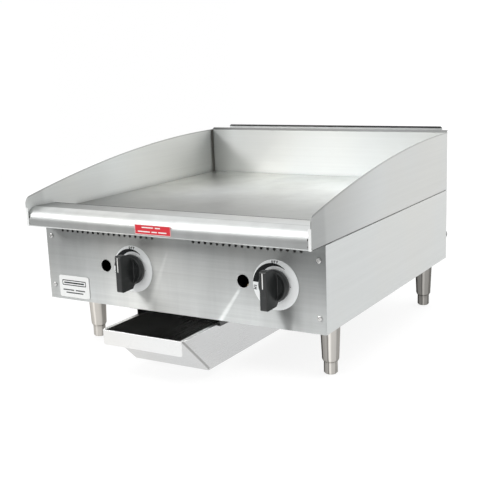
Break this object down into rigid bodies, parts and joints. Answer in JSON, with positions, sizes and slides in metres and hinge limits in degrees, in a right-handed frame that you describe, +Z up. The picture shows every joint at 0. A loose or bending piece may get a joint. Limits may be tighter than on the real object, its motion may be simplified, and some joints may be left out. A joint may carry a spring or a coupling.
{
  "type": "flat top griddle",
  "caption": "Countertop gas griddle with a flat steel plate, curved side splashes, rolled front edge, turning knobs, a slide-out grease drawer and adjustable feet.",
  "frame": {"origin": "on the counter under the middle of the whole object, drawer at its rest place", "axes": "+X to the right seen from the front, +Y from the front to the back, +Z up"},
  "size_m": [0.61, 0.768, 0.391],
  "materials": {
    "shell_steel": "brushed, fine grain",
    "panel_steel": "brushed, grain along the width",
    "nose_steel": "brushed, grain along the width",
    "splash_steel": "brushed, fine grain",
    "rear_splash_steel": "brushed, fine grain",
    "plate_steel": "ground and polished",
    "trough_steel": "mill finish",
    "inner_steel": "aluminised sheet",
    "frame_steel": "galvanised",
    "flue_steel": "mill finish",
    "burner_steel": "aluminised tube",
    "brass": "machined",
    "black_pipe": "black iron pipe",
    "stem_steel": "turned",
    "pilot_steel": "drawn tube",
    "knob_black": "satin moulded",
    "pointer_white": "paint fill",
    "dial_face": "satin light grey",
    "drawer_steel": "satin sheet",
    "rail_steel": "dark galvanised",
    "leg_nickel": "satin nickel",
    "foot_steel": "satin nickel",
    "fastener_steel": "zinc plated",
    "badge_white": "glossy label stock",
    "label_red": "glossy label stock"
  },
  "bodies": {
    "frame": {"left_side_panel": "shell_steel", "right_side_panel": "shell_steel", "rear_panel": "shell_steel", "control_panel": "panel_steel", "bullnose": "nose_steel", "left_splash": "splash_steel", "right_splash": "splash_steel", "rear_splash": "rear_splash_steel", "griddle_plate": "plate_steel", "grease_trough": "trough_steel", "grease_chute": "trough_steel", "front_heat_shield": "inner_steel", "left_liner": "inner_steel", "right_liner": "inner_steel", "zone_baffle": "inner_steel", "base_pan": "inner_steel", "front_plate_rail": "frame_steel", "rear_plate_rail": "frame_steel", "front_burner_bracket": "frame_steel", "rear_burner_bracket": "frame_steel", "manifold_brackets": "frame_steel", "leg_plates": "frame_steel", "flue_riser": "flue_steel", "left_burner": "burner_steel", "right_burner": "burner_steel", "orifice_hoods": "brass", "left_valve_body": "brass", "right_valve_body": "brass", "pilot_valves": "brass", "gas_manifold": "black_pipe", "inlet_elbow": "black_pipe", "inlet_pipe": "black_pipe", "left_pilot": "pilot_steel", "right_pilot": "pilot_steel", "left_dial": "dial_face", "right_dial": "dial_face", "left_drawer_rail": "rail_steel", "right_drawer_rail": "rail_steel", "front_left_leg": "leg_nickel", "front_right_leg": "leg_nickel", "rear_left_leg": "leg_nickel", "rear_right_leg": "leg_nickel", "levelling_bolts": "fastener_steel", "leg_nuts": "fastener_steel", "pan_head_screws": "fastener_steel", "badge": "badge_white", "front_label": "label_red"},
    "left_control": {"left_valve_stem": "stem_steel", "left_knob": "knob_black", "left_pointer": "pointer_white"},
    "right_control": {"right_valve_stem": "stem_steel", "right_knob": "knob_black", "right_pointer": "pointer_white"},
    "left_shutter": {"left_air_shutter": "burner_steel"},
    "right_shutter": {"right_air_shutter": "burner_steel"},
    "drawer": {"grease_drawer": "drawer_steel"},
    "foot_front_left": {"front_left_foot": "foot_steel"},
    "foot_front_right": {"front_right_foot": "foot_steel"},
    "foot_rear_left": {"rear_left_foot": "foot_steel"},
    "foot_rear_right": {"rear_right_foot": "foot_steel"}
  },
  "joints": [
    {"name": "left_knob_turn", "type": "hinge", "parent": "frame", "child": "left_control", "pos_m": [-0.0936, -0.286, 0.1796], "axis": [0, -1, 0], "range_deg": [0, 180]},
    {"name": "right_knob_turn", "type": "hinge", "parent": "frame", "child": "right_control", "pos_m": [0.2103, -0.286, 0.1796], "axis": [0, -1, 0], "range_deg": [0, 180]},
    {"name": "left_shutter_turn", "type": "hinge", "parent": "frame", "child": "left_shutter", "pos_m": [-0.0936, -0.216, 0.1796], "axis": [0, -1, 0], "range_deg": [0, 45]},
    {"name": "right_shutter_turn", "type": "hinge", "parent": "frame", "child": "right_shutter", "pos_m": [0.2103, -0.216, 0.1796], "axis": [0, -1, 0], "range_deg": [0, 45]},
    {"name": "drawer_slide", "type": "slide", "parent": "frame", "child": "drawer", "axis": [0, -1, 0], "range_m": [-0.1, 0.25]},
    {"name": "front_left_foot_screw", "type": "slide", "parent": "frame", "child": "foot_front_left", "axis": [0, 0, 1], "range_m": [-0.025, 0]},
    {"name": "front_right_foot_screw", "type": "slide", "parent": "frame", "child": "foot_front_right", "axis": [0, 0, 1], "range_m": [-0.025, 0]},
    {"name": "rear_left_foot_screw", "type": "slide", "parent": "frame", "child": "foot_rear_left", "axis": [0, 0, 1], "range_m": [-0.025, 0]},
    {"name": "rear_right_foot_screw", "type": "slide", "parent": "frame", "child": "foot_rear_right", "axis": [0, 0, 1], "range_m": [-0.025, 0]}
  ]
}
